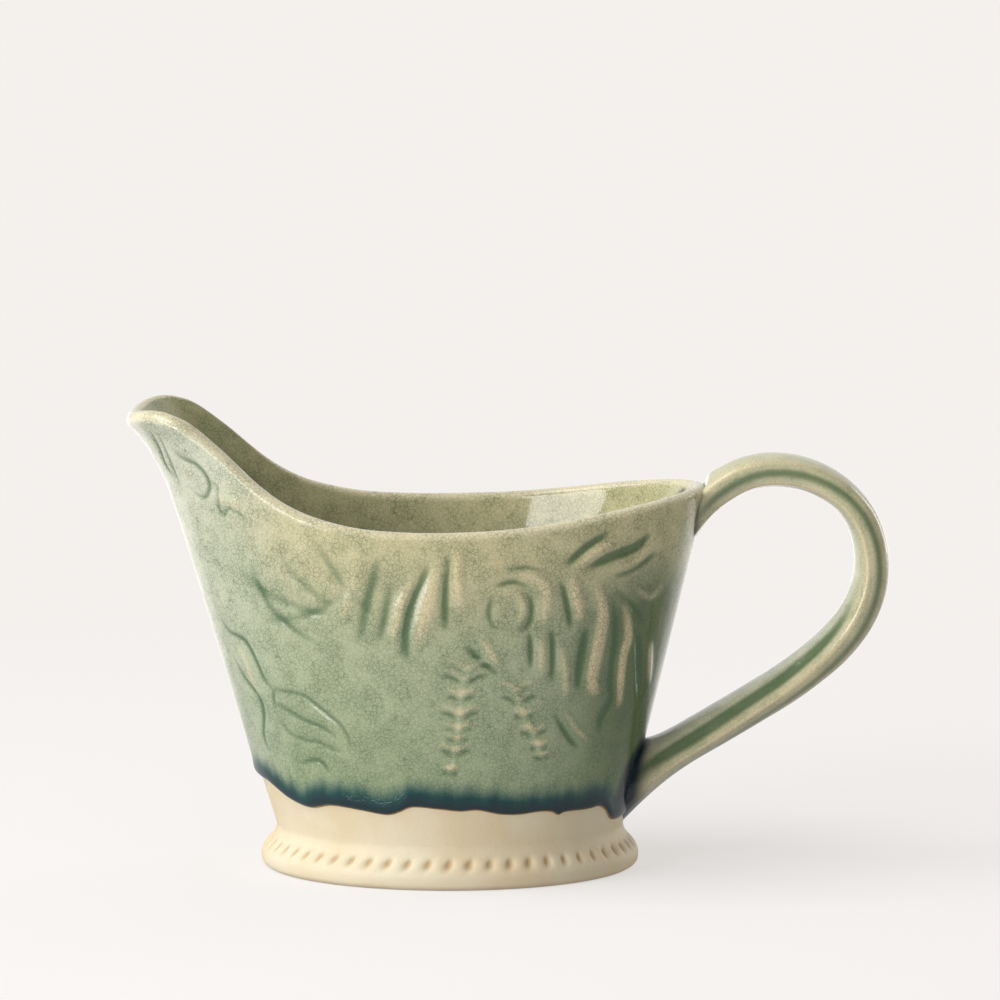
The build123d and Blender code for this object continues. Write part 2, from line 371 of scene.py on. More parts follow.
def press(relief, wall, points, width, height):
    """Adds a rounded ridge, or a groove when height is below 0, along a line in side view. It
    tapers towards both its ends."""
    u, w = wall
    known = np.array(points, float)
    line = curve(np.stack(spread_out(known[:, 0], known[:, 1]), -1), 5)
    reach = 3 * width
    low, high = line.min(0) - reach, line.max(0) + reach
    close = (u > low[0]) & (u < high[0]) & (w > low[1]) & (w < high[1])
    if not close.any():
        return
    spots = np.stack([u[close], w[close]], -1)
    nearest = np.full(len(spots), np.inf)
    place = np.zeros(len(spots))
    for number, (start, end) in enumerate(zip(line, line[1:])):
        run = end - start
        share = np.clip((spots - start) @ run / (run @ run), 0, 1)
        gap = np.linalg.norm(spots - start - share[:, None] * run, axis=1)
        nearer = gap < nearest
        nearest = np.where(nearer, gap, nearest)
        place = np.where(nearer, (number + share) / (len(line) - 1), place)
    fade = np.sqrt(np.clip(4 * place * (1 - place) + 0.02, 0, 1))
    relief[close] += height * fade * np.exp(-(nearest / width) ** 2)


def fern(relief, wall, stem, leaflets, length, lean):
    """A stem with pairs of leaflets that grow shorter towards its tip."""
    press(relief, wall, stem, *STEM)
    line = curve(stem, 12)
    for number in range(leaflets):
        share = (number + 0.5 + 0.3 * math.sin(5 * number)) / leaflets
        x, z = line[int(share * (len(line) - 1))]
        size = length * (1.05 - 0.6 * share) * (1 + 0.25 * math.sin(2.4 * number))
        for side in (-1, 1):
            tip = (x + side * size, z + lean * size)
            bend = (x + 0.5 * side * size, z + 0.75 * lean * size)
            leaflet = ((x, z), bend, tip)
            press(relief, wall, leaflet, *LEAFLET)
            groove = [(along, up - GROOVE_DROP) for along, up in leaflet]
            press(relief, wall, groove, *LEAFLET_GROOVE)


# Each line: width, height (below 0 for a groove), and its points in side view.
SPOUT_LEAF = (
    (0.8, -0.34, ((-70.3, 109.6), (-68, 107.7), (-64, 106.1), (-61.3, 103.1), (-60.7, 99.9),
                  (-62.4, 97.5), (-65.6, 99.4))),
    (0.8, -0.4, ((-76.4, 115), (-73.6, 108.6), (-72.1, 104.4), (-69.6, 101.5))),
    (0.7, -0.3, ((-74, 113.5), (-71.8, 108.4), (-70, 103.8), (-68.4, 100.2))),
    (1.3, 0.25, ((-68, 105.4), (-65.4, 103.6), (-63.8, 100.6))),
    (0.7, -0.3, ((-60.2, 101.8), (-58.6, 100.6), (-58.2, 95.2), (-56.9, 94), (-55.5, 95.5),
                 (-52.4, 94), (-51.4, 92.2))),
    (1.1, 0.36, ((-57.6, 99.6), (-56.4, 96.0))),
    (1.1, 0.36, ((-54.6, 98.4), (-53.2, 95.0))),
)
PETALS = (
    (1.5, -0.26, ((-33.4, 88.6), (-29.8, 82.3), (-26, 77), (-21, 72))),
    (1.5, -0.24, ((-43.4, 87.4), (-40.5, 80.7), (-35.6, 76.4), (-29, 72))),
    (2.2, 0.24, ((-38.6, 88.8), (-33.5, 81.4), (-27, 75.2))),
    (2.2, 0.2, ((-47, 88.4), (-42.6, 80.6), (-37.5, 75))),
    (1.4, -0.2, ((-54, 80), (-47, 75), (-38, 71.4), (-30, 69.6))),
    (1.4, -0.18, ((-48, 67), (-40, 68), (-33, 70.5), (-27, 75))),
    (1.6, -0.34, ((-17.4, 85), (-20.2, 74), (-22.6, 62.7))),
    (1.9, 0.3, ((-23.5, 86), (-24.2, 76), (-27.5, 68))),
    (1.2, -0.26, ((-50.4, 82), (-46, 72), (-40, 66), (-33, 62))),
)
STEMS = (
    (0.75, -0.42, ((-58.4, 66), (-56.4, 62.8), (-52.6, 61.4), (-50.8, 59.4), (-48.7, 55.2),
                   (-47, 51.5), (-45.1, 49.4))),
    (1.2, 0.3, ((-54.6, 60), (-52, 56.2), (-50, 51), (-47.6, 46.2))),
    (0.75, -0.42, ((-55.4, 56.4), (-52, 50.6), (-48.4, 46.4), (-47.3, 41.7), (-47.4, 36.2),
                   (-45.9, 32))),
)
POD_LEAF = (
    (0.75, -0.3, ((-43.9, 50), (-43.1, 49.1), (-37.1, 48.5), (-33.8, 46.5), (-30.5, 43.9),
                   (-27.4, 41.5), (-25.2, 38), (-24.7, 34.8))),
    (0.75, -0.28, ((-43.1, 42.2), (-40.6, 38.3), (-35.7, 36.6), (-33.4, 36.8), (-30, 35.3),
                   (-26.5, 34.4))),
    (0.85, -0.3, ((-43.4, 45.6), (-42.6, 45), (-37.2, 42.2), (-31.3, 40.2), (-28, 37.8))),
    (1.1, 0.12, ((-41.4, 46.9), (-36.4, 45.4), (-31.4, 42.6), (-27, 38.8))),
    (1.1, 0.12, ((-41, 42.2), (-36.6, 39.4), (-31, 37.6))),
    (0.75, -0.32, ((-44.3, 49.4), (-44.6, 46.6), (-43.8, 43.8))),
    (0.75, -0.36, ((-37.4, 30.4), (-36, 31.2), (-33.4, 31.8), (-31.3, 30.4), (-30.3, 28.4))),
)
CENTRE_LEAVES = (
    (1.6, -0.6, ((-4.2, 83.4), (-7.6, 77.3), (-9.1, 73.5), (-10.3, 68.6), (-10.9, 64.8),
                 (-10.6, 58.6))),
    (1.5, 0.5, ((-8.2, 80.4), (-10.6, 75.2), (-12.4, 70.4), (-13.9, 63.0))),
    (2.3, 0.45, ((-1.6, 84.6), (-4.4, 75.5), (-6.4, 68.9), (-8.4, 62.0))),
    (1.2, -0.46, ((0.2, 86.2), (-0.9, 76.8), (-0.8, 66.2))),
    (1.5, 0.46, ((2.3, 87.4), (2.5, 79.3), (3.1, 70.7))),
    (1.5, -0.3, ((-14.4, 79), (-16, 70), (-17.6, 63))),
)
ROSETTE = (
    (1.0, -0.36, ((19.4, 76.0), (20.9, 72.5), (20.2, 68.0), (17.6, 65.4))),
    (0.9, -0.3, ((11.2, 75.0), (10.1, 70.6), (11.6, 66.4))),
    (0.9, -0.34, ((11.4, 77.4), (16.2, 78.5), (20.6, 77.2))),
    (1.1, 0.34, ((12.4, 75.6), (17.0, 75.4), (19.0, 71.0), (17.0, 67.4))),
    (0.9, -0.32, ((14.4, 81.6), (19.4, 82.0), (24.8, 80.6))),
    (1.6, 0.44, ((17.4, 80.4), (22.6, 78.9), (24.9, 74.6), (23.5, 66.8))),
    (0.9, -0.4, ((20.4, 65.6), (20.7, 61), (20.7, 56.2))),
    (1.1, -0.42, ((25.9, 66.4), (26.3, 60), (25.9, 52.6))),
    (1.3, 0.36, ((23.4, 64.4), (23.4, 54.4))),
    (1.0, -0.42, ((4.4, 62.4), (7.9, 58.9), (12.6, 54.9))),
    (1.3, 0.36, ((8.4, 64.4), (12.8, 57.0))),
)
CORNER_LEAVES = (
    (1.2, -0.5, ((29.6, 82.2), (34.6, 86.4), (40.6, 90.0))),
    (1.3, 0.46, ((32.4, 81.4), (37.4, 85.4), (42.6, 88.2))),
    (1.4, -0.56, ((34.6, 81.2), (40.8, 83.6), (47.4, 85.6), (51, 88.6))),
    (1.2, 0.4, ((41.4, 80.0), (47.2, 81.6), (52, 87.2))),
    (1.2, -0.42, ((41.6, 78.8), (46.4, 80), (53, 83.6))),
    (1.2, -0.4, ((42.0, 75.2), (46.6, 70.2), (49.6, 64.8))),
    (1.3, 0.3, ((46.2, 75.6), (51, 72.2), (54.2, 75.6))),
)
FINGERS = (
    (1.7, 0.55, ((30.9, 79.6), (32.4, 73.6), (33.0, 67.4))),
    (1.1, -0.46, ((28.4, 78.4), (30.2, 71.2), (30.8, 66.0))),
    (2.0, 0.6, ((36.9, 77.4), (39.0, 69.6), (37.6, 60.9), (36.0, 52.2), (37.6, 47.8))),
    (1.4, -0.5, ((41.0, 74.6), (42.2, 64.9), (41.0, 51.4), (41.2, 47.0), (38.6, 42.0), (37.9, 37.6))),
    (1.5, -0.5, ((34.9, 66.4), (33.4, 57.4), (32.4, 50.0))),
    (1.8, 0.55, ((44.1, 73.4), (45.3, 63), (43.9, 57.9), (43.2, 49.7), (42.7, 43.8))),
    (1.3, -0.62, ((47.9, 63.4), (48.3, 54.4), (48.5, 45.6))),
    (1.3, 0.45, ((51.0, 60.4), (50.7, 48.4))),
    (1.4, 0.34, ((27.9, 62.4), (29.4, 54.4), (29.4, 47.4))),
    (0.9, -0.4, ((26.4, 44.4), (30.1, 38), (32.8, 34.7))),
    (0.9, 0.3, ((28.8, 45.2), (32.6, 39.4), (35.2, 36.4))),
)
LINES = (SPOUT_LEAF + PETALS + STEMS + POD_LEAF + CENTRE_LEAVES + ROSETTE + CORNER_LEAVES
         + FINGERS)
# Each fern: its stem in side view, pairs of leaflets, their length, and their lean.
FERNS = (
    (((5.4, 58.2), (3.4, 50.8), (2.9, 43.6), (1.9, 36.2), (-0.4, 27.9)), 8, 5.4, 0.45),
    (((16.8, 52.4), (18.6, 45.6), (22.0, 38.6), (24.4, 31.4)), 6, 4.4, 0.5),
)


def relief_of(points):
    """Height of the relief at each point of the bowl's outside, the same on both sides."""
    wall = spread_out(points[..., 0], points[..., 2])
    relief = np.zeros(points.shape[:-1])
    for width, height, line in LINES:
        press(relief, wall, line, width, height)
    for stem, leaflets, length, lean in FERNS:
        fern(relief, wall, stem, leaflets, length, lean)
    return np.clip(relief, *RELIEF_RANGE) * smooth_step(np.abs(points[..., 1]), *MEETING_FADE)


# ---------------------------------------------------------------- material nodes

def rgb(red, green, blue):
    """Linear colour from 0 to 255 display values."""
    share = np.array([red, green, blue]) / 255
    linear = np.where(share <= 0.04045, share / 12.92, ((share + 0.055) / 1.055) ** 2.4)
    return (*linear.tolist(), 1.0)


class Shader:
    """A material's node tree, with short calls that add one node each."""

    def __init__(self, name):
        self.material = bpy.data.materials.new(name)
        self.material.use_nodes = True
        self.tree = self.material.node_tree
        self.surface = self.tree.nodes["Principled BSDF"]

    def feed(self, socket, value):
        """Links another node's output to the socket, or sets a plain value on it."""
        if isinstance(value, bpy.types.NodeSocket):
            self.tree.links.new(value, socket)
        else:
            socket.default_value = value

    def node(self, kind, output=0, settings=(), **inputs):
        """A new node's output. Settings are its properties, and inputs feed its sockets."""
        node = self.tree.nodes.new("ShaderNode" + kind)
        for key, value in dict(settings).items():
            setattr(node, key, value)
        for key, value in inputs.items():
            self.feed(node.inputs[key.replace("_", " ")], value)
        return node.outputs[output]

    def attribute(self, name):
        """The mesh's own value at each point."""
        return self.node("Attribute", 2, {"attribute_name": name})

    def maths(self, operation, *values):
        node = self.tree.nodes.new("ShaderNodeMath")
        node.operation = operation
        for socket, value in zip(node.inputs, values):
            self.feed(socket, value)
        return node.outputs[0]

    def span(self, value, low, high, to_low=0.0, to_high=1.0):
        """Value from low to high, turned smoothly into to_low to to_high."""
        return self.node("MapRange", 0, {"interpolation_type": "SMOOTHSTEP"}, Value=value,
                         From_Min=low, From_Max=high, To_Min=to_low, To_Max=to_high)

    def blend(self, share, first, second):
        """From the first colour, at a share of 0, to the second, at 1."""
        node = self.tree.nodes.new("ShaderNodeMix")
        node.data_type = "RGBA"
        self.feed(node.inputs[0], share)
        self.feed(node.inputs[6], first)
        self.feed(node.inputs[7], second)
        return node.outputs[2]

    def place(self, stretch=(1, 1, 1)):
        """Where the point is on the object, in metres."""
        where = self.node("TexCoord", 3)
        return self.node("Mapping", 0, Vector=where, Scale=stretch)

    def noise(self, scale, detail, stretch=(1, 1, 1)):
        return self.node("TexNoise", 0, Vector=self.place(stretch), Scale=scale, Detail=detail)

    def finish(self, colour, roughness, bump, depth):
        """The material, with its surface set."""
        self.feed(self.surface.inputs["Base Color"], colour)
        self.feed(self.surface.inputs["Roughness"], roughness)
        normal = self.node("Bump", 0, Height=bump, Distance=depth)
        self.feed(self.surface.inputs["Normal"], normal)
        return self.material


def crackle(shader, scale, width):
    """1 on the fine cracks in the glaze and 0 between them."""
    wander = shader.node("TexNoise", 1, Vector=shader.place(), Scale=scale * 0.6, Detail=2.0)
    shift = shader.node("VectorMath", 0, {"operation": "SCALE"}, Vector=wander, Scale=1.0 / scale)
    where = shader.node("VectorMath", 0, {"operation": "ADD"})
    shader.feed(where.node.inputs[0], shader.place())
    shader.feed(where.node.inputs[1], shift)
    gap = shader.node("TexVoronoi", 0, {"feature": "DISTANCE_TO_EDGE"}, Vector=where, Scale=scale)
    return shader.span(gap, 0.0, width, 1.0, 0.0)


# ---------------------------------------------------------------- materials

RIM_CREAM_AND_HIGHLIGHT = rgb(222, 210, 178)
GLAZE_PAINTED_LIGHT = rgb(212, 213, 193)
GLAZE_HIGH = rgb(204, 194, 152)
GLAZE_MID = rgb(170, 176, 144)
GLAZE_LOW = rgb(142, 156, 122)
GLAZE_PAINTED_SHADE = rgb(76, 92, 50)
GLAZE_POOL = rgb(70, 100, 64)
GLAZE_CRACK = rgb(56, 84, 50)
GLAZE_THIN = rgb(224, 206, 168)
TEAL = rgb(22, 74, 70)
NAVY = rgb(13, 35, 44)
OCHRE = rgb(160, 118, 62)
CLAY = rgb(213, 202, 174)
CLAY_DARK = rgb(202, 172, 124)
CLAY_DIMPLE_SHADE = rgb(176, 142, 92)


def celadon(name, crack_share, ripple_depth, roughness):
    """Crackled green glaze: creamy where it thins on ridges and rim, with a painted highlight
    along the lip, dark in hollows, teal where it gathers at the lower edge. It reads the attributes
    relief, below_rim, above_edge, thick (painted light and shade) and pool."""
    shader = Shader(name)
    relief = shader.attribute("relief")
    below_rim = shader.attribute("below_rim")
    above_edge = shader.attribute("above_edge")
    # The attribute thick holds painted light below 0 and painted shade above 0
    thick = shader.attribute("thick")
    cloud = shader.noise(28.0, 4.0)
    cloud_fine = shader.noise(170.0, 5.0)
    speckle = shader.noise(1500.0, 2.0)

    # Green that deepens down the wall; inside the bowl the same darkening with depth is painted shade
    colour = shader.blend(shader.span(below_rim, 3.0, 34.0), GLAZE_HIGH, GLAZE_MID)
    colour = shader.blend(shader.span(below_rim, 30.0, 75.0), colour, GLAZE_LOW)
    # Painted light (paler) on the spout's side, the top and the handle, and painted shade (darker) on
    # the handle's end of the bowl and inside towards the spout
    colour = shader.blend(shader.span(thick, -1.5, 0.0, 1.0, 0.0), colour, GLAZE_PAINTED_LIGHT)
    colour = shader.blend(shader.span(thick, 0.0, 1.0), colour, GLAZE_PAINTED_SHADE)
    colour = shader.blend(shader.span(cloud, 0.35, 0.7, 0.0, 0.22), colour, GLAZE_MID)
    colour = shader.blend(shader.span(cloud_fine, 0.35, 0.7, 0.0, 0.17), colour, GLAZE_POOL)

    # Gathered in the hollows of the relief, and broken to cream on its ridges and on the rim, where
    # the cream along the lip is also a painted highlight
    colour = shader.blend(shader.span(relief, -0.4, 0.0, 0.85, 0.0), colour, GLAZE_POOL)
    colour = shader.blend(shader.span(relief, 0.05, 0.5, 0.0, 0.8), colour, GLAZE_THIN)
    colour = shader.blend(shader.span(below_rim, 0.1, 2.6, 0.8, 0.0), colour, RIM_CREAM_AND_HIGHLIGHT)

    # Crackle in two sizes, stronger in some places than in others
    cracks = crackle(shader, 840.0, 0.1)
    fine_cracks = crackle(shader, 1500.0, 0.12)
    lines = shader.maths("MAXIMUM", cracks, shader.maths("MULTIPLY", fine_cracks, 0.7))
    strength = shader.span(cloud_fine, 0.3, 0.65, 0.45 * crack_share, crack_share)
    colour = shader.blend(shader.maths("MULTIPLY", lines, strength), colour, GLAZE_CRACK)
    colour = shader.blend(shader.span(speckle, 0.5, 0.75, 0.0, 0.14), colour, GLAZE_POOL)

    # Dark roll at the lower edge, with short runs above it and a line of ochre below
    streaks = shader.noise(230.0, 4.0, (1, 1, 0.15))
    ragged = shader.maths("MULTIPLY_ADD", streaks, 5.0, -2.5)
    height = shader.maths("ADD", above_edge, ragged)
    colour = shader.blend(shader.span(height, 3.0, 8.6, 1.0, 0.0), colour, TEAL)
    colour = shader.blend(shader.span(height, 1.0, 5.6, 0.9, 0.0), colour, NAVY)
    colour = shader.blend(shader.span(above_edge, 0.1, 0.5, 0.9, 0.0), colour, OCHRE)
    colour = shader.blend(shader.attribute("pool"), colour, NAVY)

    sunk_cracks = shader.maths("MULTIPLY", cracks, -0.05)
    ripple = shader.maths("MULTIPLY_ADD", cloud_fine, 0.5, sunk_cracks)
    return shader.finish(colour, roughness, ripple, ripple_depth)


def bare_clay(name):
    """Matt cream stoneware, with painted shade in the dimples pressed round the foot."""
    shader = Shader(name)
    cloud = shader.noise(60.0, 5.0)
    grain = shader.noise(1500.0, 3.0)
    colour = shader.blend(shader.span(cloud, 0.35, 0.7, 0.0, 0.4), CLAY, CLAY_DARK)
    colour = shader.blend(shader.span(grain, 0.56, 0.75, 0.0, 0.25), colour, CLAY_DARK)
    # Painted shade in the dimples
    dimple_shade = shader.span(shader.attribute("relief"), -0.7, 0.0, 0.65, 0.0)
    colour = shader.blend(dimple_shade, colour, CLAY_DIMPLE_SHADE)
    rough = shader.maths("ADD", cloud, shader.maths("MULTIPLY", grain, 0.3))
    return shader.finish(colour, 0.6, rough, 0.00025)


glaze = celadon("celadon_glaze_coat", 0.6, 0.00025, 0.1)
inner_glaze = celadon("celadon_glaze_liner", 0.6, 0.00004, 0.03)
handle_glaze = celadon("celadon_glaze_handle", 0.3, 0.0002, 0.08)
clay_body = bare_clay("stoneware_clay_bare")


# ---------------------------------------------------------------- foot, floor and wall of clay

angles = column_angles()
edges = glaze_edge(angles)
lip_starts = lip_start(angles)


def shrunk(ring, share, height):
    """The ring drawn in towards its middle, laid flat at a height."""
    inner = ring * share
    inner[:, 2] = height
    return inner


def dimples(rings):
    """Height of the beads round the foot, below 0 in the slanted dimples between them."""
    across = rings[..., 1] / WAIST_HALF_WIDTH
    along = rings[..., 0] / WAIST_HALF_LENGTH
    place = np.unwrap(np.arctan2(across, along))
    radius = np.hypot(rings[..., 0], rings[..., 1])
    rise = rings[..., 2] - DIMPLE_HEIGHT
    pitch = 2 * math.pi / DIMPLE_COUNT
    turn = place - DIMPLE_SLANT * rise / radius
    off = (turn / pitch - np.round(turn / pitch)) * pitch * radius
    row = np.exp(-(rise / DIMPLE_HALF_HEIGHT) ** 2)
    pit = np.exp(-(off / DIMPLE_HALF_WIDTH) ** 2)
    return row * (BEAD_HEIGHT - (DIMPLE_DEPTH + BEAD_HEIGHT) * pit)


clay_heights = np.arange(0, CLAY_TOP + CLAY_STEP / 2, CLAY_STEP)
clay_rings = softened(np.stack([clay(angles, height) for height in clay_heights]), 8)
foot_rows = clay_heights <= FOOT_HEIGHT
slab_rows = (clay_heights >= FOOT_HEIGHT) & (clay_heights <= FLOOR_TOP)
wall_rows = clay_heights >= FLOOR_TOP


def inner_ring(down, inset=WALL):
    """Ring on the inside of the wall, this far below the lip. The clay thickens a little under
    the lip."""
    height = lip_starts - down
    inward = np.reshape(inset + LEAN * np.minimum(down, LEAN_DEPTH), (-1, 1))
    return bowl(angles, height) - inward * outward(angles, height)


def make_foot_ring():
    """The outside from the ground up, then the recess under the floor back down to the ground."""
    rings = clay_rings[foot_rows]
    pressed = dimples(rings)
    outside = rings + unit(rings * (1, 1, 0)) * pressed[..., None]
    width = FOOT_RING_WIDTH / WAIST_HALF_LENGTH
    recess = ((1.0, FOOT_HEIGHT), (1.0, 1.0), (0.93, 0.3), (0.8, 0.0), (0.2, 0.0))
    inside = [shrunk(outside[0], 1 - width * share, height) for share, height in recess]
    relief = np.concatenate([pressed, np.zeros((len(inside), len(angles)))])
    rings = np.concatenate([outside, inside])
    piece = lofted("foot_ring_clay", rings, clay_body, True, relief=relief)
    hand_over(piece, "stoneware_clay", "foot_ring")


def make_floor_slab():
    """The floor of the bowl, which shows as a band above the foot."""
    outside = clay_rings[slab_rows]
    under = [shrunk(outside[0], share, FOOT_HEIGHT) for share in SLAB_SHARES]
    over = [shrunk(outside[-1], share, FLOOR_TOP) for share in SLAB_SHARES[::-1]]
    rings = np.concatenate([under, outside, over])
    piece = lofted("floor_slab_clay", rings, clay_body, relief=np.zeros(rings.shape[:2]))
    hand_over(piece, "stoneware_clay", "floor_slab")


def make_bowl_wall():
    """The wall of clay. Only its lowest band shows, so above that it has few rings."""
    band = clay_rings[wall_rows]
    shares = np.linspace(0, 1, HIDDEN_ROWS + 2)[1:]
    top = lip_starts - CLAY_BELOW_LIP
    outside, inside = [], []
    for share in shares:
        height = CLAY_TOP + (top - CLAY_TOP) * share
        outside.append(bowl(angles, height) - (CORE_DEPTH + CLAY_GAP) * outward(angles, height))
    for share in shares[::-1]:
        height = FLOOR_TOP + (top - FLOOR_TOP) * share
        inside.append(inner_ring(lip_starts - height, WALL - COAT - LINER_GAP))
    last = inner_ring(lip_starts - FLOOR_TOP, WALL - COAT)
    last[:, 2] = FLOOR_TOP
    rings = np.concatenate([band, outside, inside, [last]])
    piece = lofted("bowl_wall_clay", rings, clay_body, True, relief=np.zeros(rings.shape[:2]))
    hand_over(piece, "stoneware_clay", "bowl_wall")


# ---------------------------------------------------------------- glaze on the bowl

def skin(height):
    """Points of the glaze's outside at one height per column, and the relief there. The glaze
    starts on the clay at its edge, rounds out over the roll and runs into the bowl's form."""
    above = height - edges
    base = clay(angles, height)
    full = bowl(angles, height)
    away = outward(angles, height)
    round_out = np.sqrt(np.clip(1 - (1 - np.clip(above / ROLL_ROUND, 0, 1)) ** 2, 0, 1))
    proud = ROLL_PROUD * np.exp(-((above - ROLL_MIDDLE) / ROLL_SPREAD) ** 2)
    points = base + (full - base + proud[:, None] * away) * round_out[:, None]
    relief = relief_of(full) * smooth_step(above, *EDGE_FADE)
    relief *= smooth_step(lip_starts - height, *LIP_FADE)
    return points + relief[:, None] * away, relief


def lip_rings():
    """Half round over the rim, from the outside to the inside."""
    away = outward(angles, lip_starts)
    up = unit(bowl(angles, lip_starts + 0.01) - bowl(angles, lip_starts))
    middle = bowl(angles, lip_starts) - LIP_RADIUS * away
    turns = np.linspace(0, math.pi, LIP_STEPS + 2)[1:-1]
    return [middle + LIP_RADIUS * (math.cos(turn) * away + math.sin(turn) * up) for turn in turns]


def make_glaze_roll():
    """The outside from the edge up, in rows that are closest where it rounds out, then the
    hidden side back down."""
    shares = np.array((0, 0.02, 0.06, 0.12, 0.2, 0.3, 0.42, 0.55, 0.7, 0.85, 1.0))
    rows = edges + ROLL_HEIGHT * shares[:, None]
    hidden = rows[::-3]
    outside = [skin(row)[0] for row in rows]
    inside = [clay(angles, row) - ROLL_DEPTH * outward(angles, row) for row in hidden]
    rings = np.array(outside + inside)
    heights = np.concatenate([rows, hidden])
    below = lip_starts + LIP_RADIUS - heights
    # The attribute thick holds painted shade and light
    piece = lofted("glaze_roll_teal", rings, glaze, True, above_edge=heights - edges,
                   below_rim=below, relief=np.zeros(heights.shape),
                   thick=painted_shade_and_light(rings, below), pool=joint_pool(rings))
    hand_over(piece, "teal_glaze", "glaze_roll")


def pool_place(points, wide, height, tall):
    """Distance from the middle of a pool, which is 1 at its edge."""
    return np.hypot(points[..., 1] / wide, (points[..., 2] - height) / tall)


def joint_pool(points):
    """Dark glaze gathered on the bowl: a pool round the lower root of the handle, and a line
    round the upper one."""
    pool = smooth_step(-pool_place(points, *LOWER_POOL), -1.2, -0.95)
    line = np.exp(-((pool_place(points, *UPPER_POOL) - 1.0) / 0.12) ** 2)
    pool += 0.8 * line * (points[..., 2] < UPPER_POOL_TOP)
    at_handle = points[..., 0] > 20
    return pool * at_handle


def painted_shade_and_light(points, below):
    """Painted shade above 0 on the handle's end of the bowl, and painted light below 0 on the
    spout's end and near the top.
    """
    painted_light = smooth_step(-points[..., 0], 22, 72) + 0.5 * smooth_step(points[..., 2], 90, 108)
    return 0.85 * smooth_step(points[..., 0], 16, 54) * smooth_step(below, 8, 30) - painted_light


def painted_inner_shade(points):
    """Painted shade inside the bowl, darker towards the spout."""
    return 0.45 * smooth_step(-points[..., 0], 20, 70)


def make_outer_glaze():
    """The coat on the outside, over the lip and down to the rim's edge inside, then its hidden
    side back up and down to the roll."""
    start = edges + ROLL_HEIGHT
    heights = [start + (lip_starts - start) * share for share in np.linspace(0, 1, WALL_ROWS)]
    rings, reliefs = map(list, zip(*[skin(height) for height in heights]))
    lip = lip_rings()
    rings += lip
    heights += [ring[:, 2] for ring in lip]
    for inset, depths in ((WALL, np.linspace(0, RIM_COAT_DEPTH, 9)),
                          (WALL - COAT, (RIM_COAT_DEPTH, 3.0, CORE_TOP))):
        rings += [inner_ring(down, inset) for down in depths]
        heights += [lip_starts - down for down in depths]
    core_top = lip_starts - CORE_TOP
    for share in np.linspace(1, 0, HIDDEN_ROWS):
        height = start + (core_top - start) * share
        rings.append(bowl(angles, height) - CORE_DEPTH * outward(angles, height))
        heights.append(height)
    reliefs += [np.zeros(len(angles))] * (len(rings) - len(reliefs))
    rings, heights = np.array(rings), np.array(heights)
    below = lip_starts + LIP_RADIUS - heights
    crest = WALL_ROWS + LIP_STEPS // 2
    # thick holds painted shade and light outside, and painted shade towards the spout inside
    thick = painted_shade_and_light(rings, below)
    thick[crest:] = painted_inner_shade(rings[crest:])
    piece = lofted("outer_glaze_coat", rings, glaze, True, (crest, inner_glaze),
                   relief=np.array(reliefs), below_rim=below, above_edge=heights - edges,
                   thick=thick, pool=joint_pool(rings))
    hand_over(piece, "celadon_glaze", "outer_glaze", "rim_glaze")


def liner_face(depths, inset, floor):
    """Rings of one face of the liner: down the wall, round the corner and in over the floor."""
    rings = [inner_ring(down, inset) for down in depths]
    foot = rings[-1]
    away = unit(foot * (1, 1, 0))
    for turn in np.linspace(0, math.pi / 2, CORNER_STEPS + 1)[1:]:
        ring = foot - away * CORNER_RADIUS * (1 - math.cos(turn))
        ring[:, 2] = foot[:, 2] + (floor - foot[:, 2]) * math.sin(turn)
        rings.append(ring)
    edge = rings[-1]
    return rings + [shrunk(edge, share, floor) for share in CAP_SHARES]


def make_liner():
    """Glaze inside the bowl, with its own hidden side on the clay."""
    floor = FLOOR_TOP + COAT
    deepest = lip_starts - floor - CORNER_RADIUS
    depths = [RIM_COAT_DEPTH + (deepest - RIM_COAT_DEPTH) * share
              for share in np.linspace(0, 1, LINER_ROWS)]
    shown = liner_face(depths, WALL, floor)
    hidden = liner_face(depths[5::6], WALL - COAT, FLOOR_TOP)
    rings = np.array(hidden[::-1] + shown)
    below = lip_starts + LIP_RADIUS - rings[..., 2]
    nothing = np.zeros(rings.shape[:2])
    # The attribute thick holds painted shade inside, darker towards the spout
    piece = lofted("liner_glaze_coat", rings, inner_glaze, relief=nothing, below_rim=below,
                   above_edge=nothing + NO_EDGE, thick=painted_inner_shade(rings), pool=nothing)
    hand_over(piece, "celadon_glaze", "liner_glaze")


# ---------------------------------------------------------------- handle

def strap_places(count):
    """Evenly spaced places along the strap's middle line, and the line's direction there."""
    line = curve(HANDLE_LINE, 20)
    length = np.concatenate([[0], np.cumsum(np.linalg.norm(np.diff(line, axis=0), axis=1))])
    spots = np.linspace(0, length[-1], count)
    x = np.interp(spots, length, line[:, 0])
    z = np.interp(spots, length, line[:, 1])
    middles = softened(np.stack([x, 0 * x, z], -1), 30)
    return middles, unit(np.gradient(middles, axis=0))


middles, alongs = strap_places(STRAP_RINGS)
strap_turns = np.linspace(math.pi, -math.pi, STRAP_POINTS, endpoint=False)


def strap_relief(share):
    """Ridges and grooves drawn along the strap by the potter's fingers, at a share of its
    length. The strap's turn is 0 on its inner face, a quarter at its near edge, and half on its
    outer face. The lines drift from the inner face towards the outer one as they run down."""
    degrees = np.degrees(np.abs(strap_turns)) - (46 + 66 * share)
    low_groove = -0.6 * smooth_step(share, 0.42, 0.75)
    # Each line: degrees from the main ridge, width in degrees, and height.
    lines = ((0, 9, 0.42), (36, 16, -0.34 + 0.08 * share), (72, 16, 0.34 * (1 - share)),
             (-35, 17, low_groove))
    relief = sum(height * np.exp(-((degrees - at) / width) ** 2) for at, width, height in lines)
    return np.where(strap_turns > 0, 1.0, 0.8) * relief


